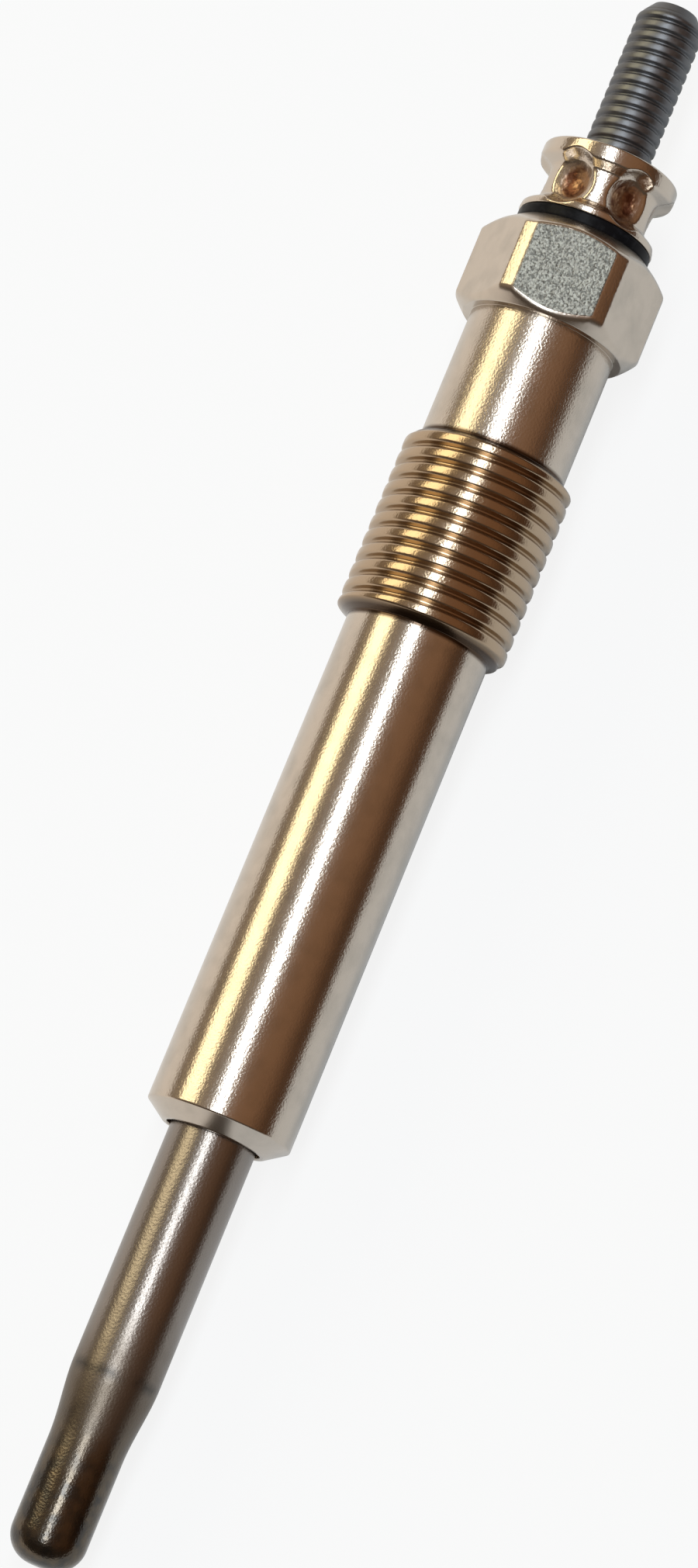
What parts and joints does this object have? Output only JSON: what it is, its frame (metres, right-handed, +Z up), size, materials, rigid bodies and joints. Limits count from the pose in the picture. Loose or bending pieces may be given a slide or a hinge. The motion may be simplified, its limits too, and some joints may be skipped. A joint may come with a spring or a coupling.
{
  "type": "glow plug",
  "caption": "Diesel glow plug with a slim heater tip, a threaded barrel with a hexagon, a black insulating washer and a crimped collar under its threaded terminal.",
  "frame": {"origin": "on the plug's axis, in the middle of its thread", "axes": "+Z up, with the plug lying as it comes to rest; +X from the heater tip to the terminal, along the axis apart from the small rest tilt; a flat of the hexagon faces up, turned 3 degrees about the axis"},
  "size_m": [0.0954, 0.0114, 0.0107],
  "materials": {
    "nickel_plate": "satin",
    "collar_plate": "satin",
    "sheath_steel": "satin",
    "stud_steel": "satin",
    "coil_wire": "satin",
    "magnesia": "matte",
    "black_plastic": "satin",
    "seal_rubber": "matte"
  },
  "bodies": {
    "root": {"plug_body": "nickel_plate", "heater_tube": "sheath_steel", "magnesia_fill": "magnesia", "heating_coil": "coil_wire", "regulating_coil": "coil_wire", "tube_seal": "seal_rubber", "centre_rod": "stud_steel", "body_seal": "seal_rubber", "insulating_washer": "black_plastic", "terminal_collar": "collar_plate"}
  },
  "joints": []
}
